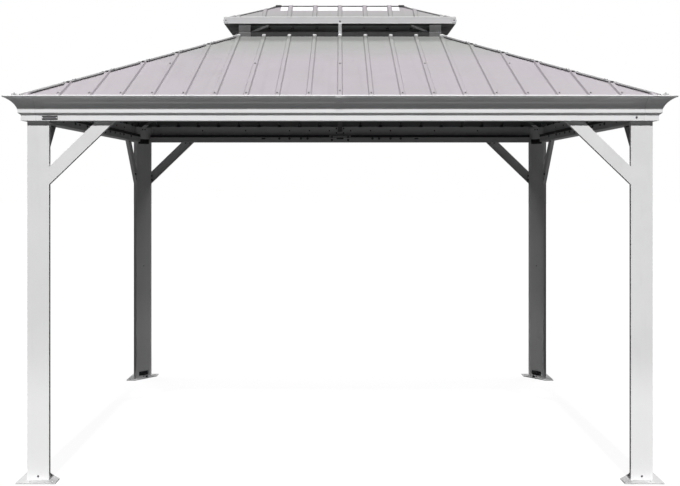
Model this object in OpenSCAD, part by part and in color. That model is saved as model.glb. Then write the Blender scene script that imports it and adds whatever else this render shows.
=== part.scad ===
// Double-roof metal gazebo. The origin is on the ground at the middle of the plan.
// X runs along the long side, the front long side faces -Y, and Z is up.

/* [Frame] */
// Length over the outer faces of the posts
frame_l = 3770; // [3000:10:5200]
// Width over the outer faces of the posts
frame_w = 2642; // [2200:2:3600]
// Clear height from the ground to the underside of the beams
clear_h = 2170; // [1900:10:2700]

/* [Posts] */
// Outer leg of the triangular post section
post_leg = 132; // [100:1:180]
// Depth of the lip at the end of each leg
post_lip = 24; // [18:1:60]
// Wall of the post section
post_wall = 3; // [2:0.5:5]
// Height of the post top above the underside of the beams
post_over = 135; // [100:1:140]
// Width of the slots in the diagonal face
post_slot_w = 112; // [40:1:118]
// Height of the slots in the diagonal face
post_slot_h = 44; // [15:1:60]
// Height of the lower slot above the base plate
post_slot_rise = 15; // [5:1:60]
// How far the upper slot reaches below the underside of the beams
post_slot_drop = 17; // [0:1:40]

/* [Base plates] */
// Thickness of a base plate
plate_t = 6; // [4:0.5:12]
// Width of the plate outside the two outer faces of the post
plate_out = 52; // [40:1:90]
// Length of the plate past the end of each leg
plate_end = 54; // [30:1:90]
// Width of the plate inside the diagonal face of the post
plate_in = 42; // [15:1:50]
// Diameter of the anchor holes
anchor_d = 14; // [8:1:18]
// Distance from the post corner to the first anchor hole
anchor_first = 25; // [15:1:50]
// Distance between the two anchor holes of the long side
anchor_gap = 135; // [80:1:145]

/* [Knee braces] */
// Reach of the braces down the posts
brace_drop = 382; // [250:1:520]
// Reach of the long-side braces along their beams
brace_long_reach = 396; // [250:1:520]
// Reach of the short-side braces along their beams
brace_short_reach = 290; // [250:1:520]
// Face width of a brace
brace_face = 77; // [50:1:110]
// Depth of a brace, from its outer web inwards
brace_depth = 28; // [15:1:36]
// Wall of the brace channel
brace_wall = 3; // [2:0.5:5]

/* [Beams] */
// Height of the beams
beam_h = 66; // [50:1:90]
// Width of the beams
beam_w = 60; // [45:1:90]
// Wall of the beams
beam_wall = 3; // [2:0.5:5]
// Length of the hanging slots in the inner face of the beams
hang_slot_l = 36; // [20:1:60]
// Height of the hanging slots
hang_slot_h = 10; // [6:1:16]
// Distance of the hanging slots from the middle of a long beam
hang_slot_x = 706; // [300:1:1000]
// Distance of the hanging slots from the middle of a short beam
hang_slot_y = 520; // [200:1:700]

/* [Gutter] */
// Height of the gutter moulding
gutter_h = 145; // [140:1:170]
// Reach of the gutter rim from the post faces
rim_out = 112; // [110:1:135]
// Diameter of the bead along the rim
bead_d = 9; // [6:0.5:12]
// Reach of the lower fascia from the post faces
fascia_out = 28; // [18:1:34]
// Height of the lower fascia
fascia_h = 34; // [25:1:38]
// Reach of the fillet below the cove
fillet_out = 43; // [38:1:50]
// Height of the underside of the fillet
fillet_z = 46; // [44:1:52]
// Height of the fillet face
fillet_h = 20; // [12:1:22]
// Radius of the cove
cove_r = 105; // [80:1:160]
// Height of the upper end of the cove
cove_top = 133; // [120:1:134]
// Reach of the upper end of the cove
cove_out = 104; // [90:1:106]
// Wall of the gutter moulding
gutter_wall = 3; // [2:0.5:4]
// Length of each arm of a corner piece, from the tip of the rim
corner_arm = 175; // [150:1:260]

/* [Main roof] */
// Slope of the main roof in degrees
roof_angle = 25.9; // [18:0.1:32]
// Height of the roof sheet above the gutter rim, over the post faces
eave_lift = 18; // [14:1:40]
// Reach of the roof sheet over the gutter
eave_out = 70; // [40:1:75]
// Vertical thickness of the roof sheet
sheet_t = 4; // [2:0.5:6]
// Width of the opening under the vent roof
opening_w = 376; // [300:2:520]
// Distance between standing seams
seam_pitch = 188; // [140:1:260]
// Width of a seam at the sheet
seam_base = 36; // [24:1:44]
// Width of a seam at its top
seam_top = 22; // [12:1:30]
// Height of a seam
seam_h = 12; // [8:1:22]
// Wall of a seam, which is hollow from below
seam_wall = 2; // [1:0.5:3]
// Width of a hip cap on each side of the hip, seen from above
cap_w = 14; // [8:1:24]
// Vertical thickness of a hip cap
cap_t = 4; // [2:0.5:6]

/* [Roof framing] */
// Width of the rafters
rafter_w = 40; // [30:1:60]
// Vertical depth of the rafters
rafter_h = 60; // [40:1:80]
// Width of the purlins, seen from above
purlin_w = 40; // [25:1:60]
// Vertical depth of the purlins
purlin_h = 25; // [15:1:40]
// Distance of the purlins from the post faces
purlin_run = 505; // [350:1:700]
// Width of the frame round the opening
curb_w = 30; // [20:1:45]
// Depth of the frame round the opening
curb_h = 50; // [35:1:70]

/* [Vent roof] */
// Height of the vent fascia above the top edge of the main roof
vent_gap = 86; // [60:1:130]
// Overhang of the vent roof past the ends of the opening
vent_out_x = 102; // [60:1:150]
// Overhang of the vent roof past the sides of the opening
vent_out_y = 52; // [40:1:90]
// Height of the vent fascia
vent_fascia_h = 48; // [35:1:70]
// Wall of the vent fascia and its flange
vent_wall = 3; // [2:0.5:5]
// Width of the flange inside the opening line
vent_flange = 30; // [15:1:60]
// Depth of the eave of the vent roof below the top of its fascia
vent_eave_drop = 13; // [5:1:25]
// Rise of the vent roof from its eave to its ridge
vent_rise = 145; // [90:1:180]
// Length of the vent ridge
vent_ridge_l = 922; // [700:2:1100]
// Vertical thickness of the vent roof sheet
vent_sheet_t = 3; // [2:0.5:5]
// Width of the corner brackets along the long side
bracket_w = 87; // [50:1:120]
// Width of the corner brackets along the short side
bracket_d = 60; // [40:1:90]
// Thickness of the corner brackets and uprights
bracket_t = 4; // [3:0.5:6]
// Width of the middle uprights
upright_w = 28; // [20:1:45]

/* [Hidden] */
$fn = 96;
half_l = frame_l / 2;
half_w = frame_w / 2;

post_top = clear_h + post_over;
beam_half_x = half_l - post_leg;
beam_half_y = half_w - post_leg;

plate_reach = post_leg + plate_end;
plate_nose = post_leg + post_lip + plate_in * sqrt(2) - plate_reach;

rim_z = clear_h + gutter_h;
roof_tan = tan(roof_angle);
roof_run = (frame_w - opening_w) / 2;
open_x = half_l - roof_run;
open_y = opening_w / 2;
// Height of the top face of the roof sheet over the post faces and at the opening
sheet_z = rim_z + eave_lift;
open_z = sheet_z + roof_run * roof_tan;
curb_bottom = open_z - sheet_t - curb_h;
// How far ribs and caps stop short of a mitre plane
cap_gap = 0.5;
// How far a seam reaches down into its sheet
seam_root = 1;
// Length of the closed end of a seam
seam_end = 12;

vent_x = open_x + vent_out_x;
vent_y = open_y + vent_out_y;
vent_z = open_z + vent_gap;
// Half length and half width of the vent roof inside its fascia, and the height of its eave
vent_roof_x = vent_x - vent_wall;
vent_roof_y = vent_y - vent_wall;
vent_eave_z = vent_z + vent_fascia_h - vent_eave_drop;
vent_ridge_x = vent_ridge_l / 2;
vent_hip_run = vent_roof_x - vent_ridge_x;
// How far the seams of the vent roof stop short of its eave
seam_eave_gap = 6;

// Longer than any piece, for cuts that run right through
beyond = frame_l + frame_w + clear_h;

paint = [0.82, 0.82, 0.83];
dark_paint = [0.36, 0.36, 0.37];
sheet_paint = [0.78, 0.76, 0.78];
vent_paint = [0.74, 0.74, 0.74];

// ---- placing ----

module mirror_if(flag, axis) {
    if (flag) mirror(axis) children();
    else children();
}

// Takes a shape drawn with the post's outer corner at the origin and the gazebo towards
// +X and +Y, and puts it at the corner with the signs sx and sy.
module at_corner(sx, sy) {
    translate([sx * half_l, sy * half_w, 0])
        mirror_if(sx > 0, [1, 0, 0])
        mirror_if(sy > 0, [0, 1, 0])
        children();
}

// Draws a section, with X as Y and Y as Z, along the whole X direction.
module along_x(length = beyond) {
    rotate([90, 0, 90]) linear_extrude(height = length, center = true) children();
}

// ---- posts and feet ----

module post_outline(inset) {
    diagonal = post_leg + post_lip - inset * sqrt(2);
    end = post_leg - inset;
    polygon([
        [inset, inset], [end, inset], [end, diagonal - end],
        [diagonal - end, end], [inset, end]
    ]);
}

module post_slot(z) {
    middle = (post_leg + post_lip) / 2;
    translate([middle, middle, z + post_slot_h / 2])
        rotate([0, 0, 45])
        cube([4 * post_wall, post_slot_w, post_slot_h], center = true);
}

module post() {
    difference() {
        translate([0, 0, plate_t])
            linear_extrude(height = post_top - plate_t) post_outline(0);
        linear_extrude(height = beyond) post_outline(post_wall);
        post_slot(plate_t + post_slot_rise);
        post_slot(clear_h - post_slot_drop);
    }
}

module base_plate() {
    edge = -plate_out / 2;
    difference() {
        linear_extrude(height = plate_t) polygon([
            [-plate_out, -plate_out], [plate_reach, -plate_out], [plate_reach, plate_nose],
            [plate_nose, plate_reach], [-plate_out, plate_reach]
        ]);
        for (spot = [
            [anchor_first, edge], [anchor_first + anchor_gap, edge],
            [edge, anchor_first + anchor_gap]
        ])
            translate([spot[0], spot[1], -plate_t]) cylinder(d = anchor_d, h = 3 * plate_t);
    }
}

// ---- knee braces and beams ----

// The face of a brace, or of its pocket, drawn from the corner between post and beam.
// Outer and inner are the shares of both reaches at which its two long edges lie.
module brace_face_outline(reach, inset) {
    share = norm([reach, brace_drop]) / (reach * brace_drop);
    outer = 1 - inset * share;
    inner = 1 - (brace_face - inset) * share;
    polygon([
        [inset, -brace_drop * (outer - inset / reach)],
        [inset, -brace_drop * (inner - inset / reach)],
        [reach * (inner - inset / brace_drop), -inset],
        [reach * (outer - inset / brace_drop), -inset]
    ]);
}

module brace(reach) {
    pocket_depth = 2 * brace_depth - brace_wall;
    translate([post_leg, 0, clear_h]) difference() {
        translate([0, brace_depth, 0])
            rotate([90, 0, 0])
            linear_extrude(height = brace_depth) brace_face_outline(reach, 0);
        translate([0, 2 * brace_depth, 0])
            rotate([90, 0, 0])
            linear_extrude(height = pocket_depth) brace_face_outline(reach, brace_wall);
    }
}

module brace_long() {
    brace(brace_long_reach);
}

module brace_short() {
    mirror([1, -1, 0]) brace(brace_short_reach);
}

// A slot along X through a wall at Y = 0, with round ends.
module hang_slot() {
    straight = hang_slot_l - hang_slot_h;
    rotate([90, 0, 0]) linear_extrude(height = 2 * beam_wall, center = true) {
        square([straight, hang_slot_h], center = true);
        for (end = [-1, 1]) translate([end * straight / 2, 0]) circle(d = hang_slot_h);
    }
}

// A beam whose outer face is at Y = -reach, with two hanging slots in its inner face.
module beam(reach, half_length, slot_x) {
    bore_l = 2 * (half_length + beam_wall);
    difference() {
        translate([-half_length, -reach, clear_h]) cube([2 * half_length, beam_w, beam_h]);
        translate([-bore_l / 2, beam_wall - reach, clear_h + beam_wall])
            cube([bore_l, beam_w - 2 * beam_wall, beam_h - 2 * beam_wall]);
        for (side = [-1, 1])
            translate([side * slot_x, beam_w - beam_wall / 2 - reach, clear_h + beam_h / 2])
                hang_slot();
    }
}

// ---- gutter ----

// Centre of the arc of radius cove_r through both ends of the cove.
cove_chord = [cove_out - fillet_out, cove_top - fillet_z - fillet_h];
cove_chord_l = norm(cove_chord);
cove_sag = sqrt(cove_r * cove_r - cove_chord_l * cove_chord_l / 4);
cove_centre = [
    (cove_out + fillet_out) / 2 + cove_sag * cove_chord[1] / cove_chord_l,
    (cove_top + fillet_z + fillet_h) / 2 - cove_sag * cove_chord[0] / cove_chord_l
];

// Section of the gutter moulding: X is the reach from the post face, Y the height.
module gutter_section() {
    neck = rim_out - bead_d / 2;
    cove_foot = fillet_z + fillet_h;
    difference() {
        union() {
            polygon([
                [0, 0], [fascia_out, 0], [fascia_out, fascia_h], [fillet_out, fillet_z],
                [fillet_out, cove_foot], [cove_out, cove_top], [neck, cove_top],
                [neck, gutter_h - bead_d / 2], [neck, gutter_h], [0, gutter_h]
            ]);
            translate([neck, gutter_h - bead_d / 2]) circle(d = bead_d);
        }
        // the hollow of the cove
        intersection() {
            translate(cove_centre) circle(r = cove_r);
            polygon([
                [fillet_out, cove_foot], [cove_out, cove_top],
                [cove_out - cove_chord[1], cove_top + cove_chord[0]],
                [fillet_out - cove_chord[1], cove_foot + cove_chord[0]]
            ]);
        }
        // the trough
        difference() {
            translate([gutter_wall, cove_foot])
                square([neck - 2 * gutter_wall, gutter_h]);
            translate(cove_centre) circle(r = cove_r + gutter_wall);
        }
        // the closed box behind the lower fascia
        polygon([
            [gutter_wall, gutter_wall], [fascia_out - gutter_wall, gutter_wall],
            [fascia_out - gutter_wall, fascia_h + gutter_wall / 2],
            [fillet_out - gutter_wall, fillet_z + gutter_wall / 2],
            [fillet_out - gutter_wall, cove_foot - gutter_wall],
            [gutter_wall, cove_foot - gutter_wall]
        ]);
    }
}

// The moulding along X, with its back at Y = -reach.
module gutter_run(reach, length = beyond) {
    translate([0, 0, clear_h])
        along_x(length)
        mirror([1, 0]) translate([reach, 0]) gutter_section();
}

function gutter_straight(half_length) = 2 * (half_length + rim_out - corner_arm);

module gutter_corner() {
    inner = corner_arm - rim_out;
    rim = rim_out + gutter_wall;
    intersection() {
        gutter_run(half_w);
        linear_extrude(height = beyond) polygon([
            [half_l - inner, -half_w], [half_l, -half_w],
            [half_l + rim, -half_w - rim], [half_l - inner, -half_w - rim]
        ]);
    }
    intersection() {
        rotate([0, 0, 90]) gutter_run(half_l);
        linear_extrude(height = beyond) polygon([
            [half_l, -half_w + inner], [half_l, -half_w],
            [half_l + rim, -half_w - rim], [half_l + rim, -half_w + inner]
        ]);
    }
}

module gutter_corner_set() {
    for (sx = [0, 1], sy = [0, 1])
        mirror_if(sx == 1, [1, 0, 0]) mirror_if(sy == 1, [0, 1, 0]) gutter_corner();
}

// ---- main roof ----

// A band that follows a roof slope: reach is the distance from the middle to the line at
// height z, d_from and d_to run inwards from that line, lo and hi are vertical offsets.
module slope_band(reach, z, rise, d_from, d_to, lo, hi) {
    along_x() polygon([
        [-reach + d_from, z + d_from * rise + lo], [-reach + d_to, z + d_to * rise + lo],
        [-reach + d_to, z + d_to * rise + hi], [-reach + d_from, z + d_from * rise + hi]
    ]);
}

// Plan of a front slope between its eave and the opening, kept short of both hips.
module slope_plan(reach, half_length, d_from, d_to, short) {
    linear_extrude(height = beyond) polygon([
        [-half_length + d_from + short, -reach + d_from],
        [half_length - d_from - short, -reach + d_from],
        [half_length - d_to - short, -reach + d_to],
        [-half_length + d_to + short, -reach + d_to]
    ]);
}

// Section of a seam, or with an inset that of its hollow, from a depth under the sheet's top.
module seam_section(inset, depth) {
    base = seam_base / 2 - inset;
    top = seam_top / 2 - inset;
    polygon([
        [-base, -depth], [base, -depth], [top, seam_h - inset], [-top, seam_h - inset]
    ]);
}

module solid_seam() {
    seam_section(0, seam_root);
}

module seam_hollow() {
    seam_section(seam_wall, 2 * sheet_t);
}

// Extrudes a section down a slope at angle for each seam, from the middle line at top_z.
module seam_rows(half_length, length, angle, top_z) {
    count = floor((half_length - seam_base) / seam_pitch);
    for (i = [-count : count])
        translate([i * seam_pitch, 0, top_z])
            rotate([angle, 0, 0]) rotate([90, 0, 0])
            linear_extrude(height = length) children();
}

module roof_seams(reach, half_length) {
    seam_rows(
        half_length + eave_out, (reach + eave_out) / cos(roof_angle) + seam_h,
        roof_angle, sheet_z + reach * roof_tan
    ) children();
}

// One side of the main roof: sheet with standing seams.
module roof_side(reach, half_length) {
    difference() {
        union() {
            intersection() {
                slope_band(reach, sheet_z, roof_tan, -eave_out, roof_run, -sheet_t, 0);
                slope_plan(reach, half_length, -eave_out, roof_run, 0);
            }
            intersection() {
                roof_seams(reach, half_length) solid_seam();
                slope_plan(reach, half_length, -eave_out, roof_run, cap_w * sqrt(2) + cap_gap);
            }
        }
        intersection() {
            roof_seams(reach, half_length) seam_hollow();
            slope_plan(
                reach, half_length, -eave_out + seam_end, roof_run - seam_end,
                cap_w * sqrt(2) + seam_end
            );
        }
    }
}

// Everything below the sheets of a slope and of the slope facing it.
module below_slopes(reach, z, rise) {
    along_x() polygon([
        [-reach - rim_out, 0], [reach + rim_out, 0], [reach + rim_out, z - rim_out * rise],
        [0, z + reach * rise], [-reach - rim_out, z - rim_out * rise]
    ]);
}

module below_main_roof() {
    below_slopes(half_w, sheet_z - sheet_t, roof_tan);
}

module below_main_ends() {
    rotate([0, 0, 90]) below_slopes(half_l, sheet_z - sheet_t, roof_tan);
}

// Plan strip beside the front-left hip, on its front side, width measured along Y.
module hip_strip(width, d_from, d_to) {
    linear_extrude(height = beyond) polygon([
        [-half_l + d_from, -half_w + d_from], [-half_l + d_to, -half_w + d_to],
        [-half_l + d_to + width, -half_w + d_to], [-half_l + d_from + width, -half_w + d_from]
    ]);
}

module hip_cap_half() {
    intersection() {
        slope_band(half_w, sheet_z, roof_tan, -eave_out, roof_run, 0, cap_t);
        hip_strip(cap_w * sqrt(2), -eave_out, roof_run);
    }
}

// Swaps the two sides of the front-left hip.
module across_hip() {
    translate([-half_l, -half_w, 0])
        mirror([1, -1, 0])
        translate([half_l, half_w, 0])
        children();
}

module hip_cap() {
    hip_cap_half();
    across_hip() hip_cap_half();
}

module hip_cap_set() {
    for (sx = [0, 1], sy = [0, 1])
        mirror_if(sx == 1, [1, 0, 0]) mirror_if(sy == 1, [0, 1, 0]) hip_cap();
}

// ---- roof framing ----

// Hip rafter of the front-left corner, notched over the post.
module hip_rafter() {
    slope = roof_tan / sqrt(2);
    foot = post_leg / 2;
    reach = roof_run * sqrt(2);
    top = sheet_z - sheet_t;
    intersection() {
        translate([-half_l, -half_w, 0])
            rotate([0, 0, 45])
            rotate([90, 0, 0])
            linear_extrude(height = rafter_w, center = true) polygon([
                [foot, top + foot * slope - rafter_h], [reach, top + reach * slope - rafter_h],
                [reach, top + reach * slope], [foot, top + foot * slope]
            ]);
        below_main_roof();
        below_main_ends();
        difference() {
            translate([-half_l, -half_w, 0]) cube([half_l, half_w, beyond]);
            translate([-half_l, -half_w, 0]) linear_extrude(height = post_top) post_outline(0);
            curb_block(curb_w, beyond);
        }
    }
}

module curb_block(extra, height) {
    translate([-open_x - extra, -open_y - extra, 0])
        cube([2 * (open_x + extra), 2 * (open_y + extra), height]);
}

module opening_ring() {
    intersection() {
        below_main_roof();
        below_main_ends();
        difference() {
            translate([0, 0, curb_bottom]) curb_block(curb_w, 2 * curb_h);
            curb_block(0, beyond);
        }
    }
}

// The rafter under the middle seam of the front slope.
module middle_rafter() {
    intersection() {
        slope_band(
            half_w, sheet_z, roof_tan, 0, roof_run - curb_w, -sheet_t - rafter_h, -sheet_t
        );
        middle_strip();
    }
}

module middle_strip() {
    translate([-rafter_w / 2, -beyond / 2, 0]) cube([rafter_w, beyond, beyond]);
}

// A purlin across a slope, between the hip rafters.
module purlin(reach, half_length) {
    from = purlin_run - purlin_w / 2;
    to = purlin_run + purlin_w / 2;
    intersection() {
        slope_band(reach, sheet_z, roof_tan, from, to, -sheet_t - purlin_h, -sheet_t);
        slope_plan(reach, half_length, from, to, rafter_w / sqrt(2));
    }
}

// ---- vent roof ----

module vent_bracket() {
    height = vent_z - curb_bottom;
    translate([-open_x, -open_y, curb_bottom]) {
        cube([bracket_w, bracket_t, height]);
        cube([bracket_t, bracket_d, height]);
    }
}

module vent_upright() {
    translate([-upright_w / 2, -open_y, curb_bottom])
        cube([upright_w, bracket_t, vent_z - curb_bottom]);
}

module vent_box(inset_x, inset_y, z, height) {
    translate([-vent_x + inset_x, -vent_y + inset_y, z])
        cube([2 * (vent_x - inset_x), 2 * (vent_y - inset_y), height]);
}

module vent_fascia_ring() {
    difference() {
        vent_box(0, 0, vent_z, vent_fascia_h);
        vent_box(vent_wall, vent_wall, vent_z + vent_wall, vent_fascia_h);
        vent_box(vent_out_x + vent_flange, vent_out_y + vent_flange, 0, beyond);
    }
}

// Plan of the front slope of the vent roof, kept short of both hips and of the ridge.
module vent_side_plan(short, ridge_short, eave_short) {
    shift = vent_hip_run / vent_roof_y;
    linear_extrude(height = beyond) polygon([
        [-vent_roof_x + eave_short * shift + short, -vent_roof_y + eave_short],
        [vent_roof_x - eave_short * shift - short, -vent_roof_y + eave_short],
        [vent_ridge_x + ridge_short * shift - short, -ridge_short],
        [-vent_ridge_x - ridge_short * shift + short, -ridge_short]
    ]);
}

// Plan of the left end of the vent roof, kept short of both hips.
module vent_end_plan(short, eave_short) {
    shift = vent_roof_y / vent_hip_run;
    linear_extrude(height = beyond) polygon([
        [-vent_roof_x + eave_short, -vent_roof_y + eave_short * shift + short],
        [-vent_ridge_x - short / shift, 0],
        [-vent_roof_x + eave_short, vent_roof_y - eave_short * shift - short]
    ]);
}

module vent_side_band(lo, hi) {
    slope_band(vent_roof_y, vent_eave_z, vent_rise / vent_roof_y, 0, vent_roof_y, lo, hi);
}

module vent_end_band(lo, hi) {
    rotate([0, 0, -90])
        slope_band(vent_roof_x, vent_eave_z, vent_rise / vent_hip_run, 0, vent_hip_run, lo, hi);
}

// Width of a vent hip cap measured along X on the long slopes, and along Y on the ends.
vent_cap_x = cap_w * norm([vent_hip_run, vent_roof_y]) / vent_roof_y;
vent_cap_y = cap_w * norm([vent_hip_run, vent_roof_y]) / vent_hip_run;

module vent_side_seams() {
    seam_rows(
        vent_roof_x, 2 * vent_roof_y, atan(vent_rise / vent_roof_y), vent_eave_z + vent_rise
    ) children();
}

module vent_side() {
    difference() {
        union() {
            intersection() {
                vent_side_band(-vent_sheet_t, 0);
                vent_side_plan(0, 0, 0);
            }
            intersection() {
                vent_side_seams() solid_seam();
                vent_side_plan(vent_cap_x + cap_gap, cap_w + cap_gap, seam_eave_gap);
            }
        }
        intersection() {
            vent_side_seams() seam_hollow();
            vent_side_plan(vent_cap_x + seam_end, cap_w + seam_end, seam_eave_gap + seam_end);
        }
    }
}

module vent_end_seams() {
    rotate([0, 0, -90])
        seam_rows(
            vent_roof_y, 2 * vent_roof_x, atan(vent_rise / vent_hip_run),
            vent_eave_z + vent_roof_x * vent_rise / vent_hip_run
        ) children();
}

module vent_end() {
    difference() {
        union() {
            intersection() {
                vent_end_band(-vent_sheet_t, 0);
                vent_end_plan(0, 0);
            }
            intersection() {
                vent_end_seams() solid_seam();
                vent_end_plan(vent_cap_y + cap_gap, seam_eave_gap);
            }
        }
        intersection() {
            vent_end_seams() seam_hollow();
            vent_end_plan(vent_cap_y + seam_end, seam_eave_gap + seam_end);
        }
    }
}

module vent_cap_side() {
    intersection() {
        vent_side_band(0, cap_t);
        difference() {
            vent_side_plan(0, 0, 0);
            vent_side_plan(vent_cap_x, cap_w, -vent_roof_y);
        }
    }
}

module vent_cap_end() {
    intersection() {
        vent_end_band(0, cap_t);
        difference() {
            vent_end_plan(0, 0);
            vent_end_plan(vent_cap_y, -vent_hip_run);
        }
    }
}

// ---- nodes ----

module post_front_left() { color(paint) at_corner(-1, -1) post(); }
module post_front_right() { color(paint) at_corner(1, -1) post(); }
module post_rear_left() { color(paint) at_corner(-1, 1) post(); }
module post_rear_right() { color(paint) at_corner(1, 1) post(); }

module base_plate_front_left() { color(paint) at_corner(-1, -1) base_plate(); }
module base_plate_front_right() { color(paint) at_corner(1, -1) base_plate(); }
module base_plate_rear_left() { color(paint) at_corner(-1, 1) base_plate(); }
module base_plate_rear_right() { color(paint) at_corner(1, 1) base_plate(); }

module brace_front_left_long() { color(paint) at_corner(-1, -1) brace_long(); }
module brace_front_right_long() { color(paint) at_corner(1, -1) brace_long(); }
module brace_rear_left_long() { color(paint) at_corner(-1, 1) brace_long(); }
module brace_rear_right_long() { color(paint) at_corner(1, 1) brace_long(); }
module brace_front_left_short() { color(paint) at_corner(-1, -1) brace_short(); }
module brace_front_right_short() { color(paint) at_corner(1, -1) brace_short(); }
module brace_rear_left_short() { color(paint) at_corner(-1, 1) brace_short(); }
module brace_rear_right_short() { color(paint) at_corner(1, 1) brace_short(); }

module beam_front() { color(paint) beam(half_w, beam_half_x, hang_slot_x); }
module beam_rear() { color(paint) rotate([0, 0, 180]) beam(half_w, beam_half_x, hang_slot_x); }
module beam_left() { color(paint) rotate([0, 0, -90]) beam(half_l, beam_half_y, hang_slot_y); }
module beam_right() { color(paint) rotate([0, 0, 90]) beam(half_l, beam_half_y, hang_slot_y); }

module gutter_front() { color(dark_paint) gutter_run(half_w, gutter_straight(half_l)); }
module gutter_rear() {
    color(dark_paint) rotate([0, 0, 180]) gutter_run(half_w, gutter_straight(half_l));
}
module gutter_left() {
    color(dark_paint) rotate([0, 0, -90]) gutter_run(half_l, gutter_straight(half_w));
}
module gutter_right() {
    color(dark_paint) rotate([0, 0, 90]) gutter_run(half_l, gutter_straight(half_w));
}
module gutter_corners() { color(dark_paint) gutter_corner_set(); }

module hip_rafter_front_left() { color(paint) hip_rafter(); }
module hip_rafter_front_right() { color(paint) mirror([1, 0, 0]) hip_rafter(); }
module hip_rafter_rear_left() { color(paint) mirror([0, 1, 0]) hip_rafter(); }
module hip_rafter_rear_right() { color(paint) rotate([0, 0, 180]) hip_rafter(); }

module middle_rafters() {
    color(paint) for (turn = [0, 180]) rotate([0, 0, turn]) middle_rafter();
}

module purlins() {
    color(paint) for (turn = [0, 180]) {
        rotate([0, 0, turn]) difference() {
            purlin(half_w, half_l);
            middle_strip();
        }
        rotate([0, 0, turn + 90]) purlin(half_l, half_w);
    }
}

module opening_frame() { color(paint) opening_ring(); }

module roof_front() { color(sheet_paint) roof_side(half_w, half_l); }
module roof_rear() { color(sheet_paint) rotate([0, 0, 180]) roof_side(half_w, half_l); }
module roof_left() { color(sheet_paint) rotate([0, 0, -90]) roof_side(half_l, half_w); }
module roof_right() { color(sheet_paint) rotate([0, 0, 90]) roof_side(half_l, half_w); }
module hip_caps() { color(sheet_paint) hip_cap_set(); }

module vent_brackets() {
    color(paint) for (sx = [0, 1], sy = [0, 1])
        mirror_if(sx == 1, [1, 0, 0]) mirror_if(sy == 1, [0, 1, 0]) vent_bracket();
}
module vent_uprights() {
    color(paint) for (turn = [0, 180]) rotate([0, 0, turn]) vent_upright();
}
module vent_fascia() { color(vent_paint) vent_fascia_ring(); }
module vent_roof_front() { color(sheet_paint) vent_side(); }
module vent_roof_rear() { color(sheet_paint) rotate([0, 0, 180]) vent_side(); }
module vent_roof_left() { color(sheet_paint) vent_end(); }
module vent_roof_right() { color(sheet_paint) rotate([0, 0, 180]) vent_end(); }
module vent_caps() {
    color(sheet_paint) for (turn = [0, 180]) rotate([0, 0, turn]) {
        vent_cap_side();
        vent_cap_end();
    }
}

post_front_left();
post_front_right();
post_rear_left();
post_rear_right();
base_plate_front_left();
base_plate_front_right();
base_plate_rear_left();
base_plate_rear_right();
brace_front_left_long();
brace_front_right_long();
brace_rear_left_long();
brace_rear_right_long();
brace_front_left_short();
brace_front_right_short();
brace_rear_left_short();
brace_rear_right_short();
beam_front();
beam_rear();
beam_left();
beam_right();
gutter_front();
gutter_rear();
gutter_left();
gutter_right();
gutter_corners();
hip_rafter_front_left();
hip_rafter_front_right();
hip_rafter_rear_left();
hip_rafter_rear_right();
middle_rafters();
purlins();
opening_frame();
roof_front();
roof_rear();
roof_left();
roof_right();
hip_caps();
vent_brackets();
vent_uprights();
vent_fascia();
vent_roof_front();
vent_roof_rear();
vent_roof_left();
vent_roof_right();
vent_caps();
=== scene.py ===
"""Looks of a double-roof metal gazebo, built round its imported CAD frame.

Metres, +Z up, the front at -Y. Every added piece rides on the one body, root.
"""
import math

import bpy
from mathutils import Matrix, Vector


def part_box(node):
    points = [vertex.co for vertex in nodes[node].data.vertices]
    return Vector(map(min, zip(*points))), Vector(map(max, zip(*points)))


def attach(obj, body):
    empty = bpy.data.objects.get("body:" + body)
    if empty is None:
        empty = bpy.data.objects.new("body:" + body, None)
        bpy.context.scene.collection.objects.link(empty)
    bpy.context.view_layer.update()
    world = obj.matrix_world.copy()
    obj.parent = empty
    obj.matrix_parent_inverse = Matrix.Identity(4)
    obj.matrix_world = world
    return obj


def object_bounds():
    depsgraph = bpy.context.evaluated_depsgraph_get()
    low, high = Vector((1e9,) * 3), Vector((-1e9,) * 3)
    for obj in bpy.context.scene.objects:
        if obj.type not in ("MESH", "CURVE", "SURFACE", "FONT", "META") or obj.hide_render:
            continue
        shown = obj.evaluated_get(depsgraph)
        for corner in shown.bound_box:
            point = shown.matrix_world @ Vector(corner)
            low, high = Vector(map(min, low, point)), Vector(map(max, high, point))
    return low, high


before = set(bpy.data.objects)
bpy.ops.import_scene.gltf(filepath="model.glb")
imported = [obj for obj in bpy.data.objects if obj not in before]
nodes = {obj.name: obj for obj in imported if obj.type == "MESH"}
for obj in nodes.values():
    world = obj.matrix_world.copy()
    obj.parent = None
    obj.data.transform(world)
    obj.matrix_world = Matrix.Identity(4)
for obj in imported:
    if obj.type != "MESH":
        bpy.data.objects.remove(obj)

MM = 0.001
cad_low, cad_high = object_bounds()

# ---- places taken from the frame ----

post_low, post_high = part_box("post_front_left")
beam_low, beam_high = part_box("beam_front")
gutter_low, gutter_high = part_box("gutter_front")
roof_low, roof_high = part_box("roof_front")
caps_low, caps_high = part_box("hip_caps")
vent_low, vent_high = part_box("vent_fascia")
vent_caps_low, vent_caps_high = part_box("vent_caps")
_, plate_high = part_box("base_plate_front_left")
brace_low, brace_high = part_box("brace_front_left_long")
short_low, short_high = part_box("brace_front_left_short")

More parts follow.
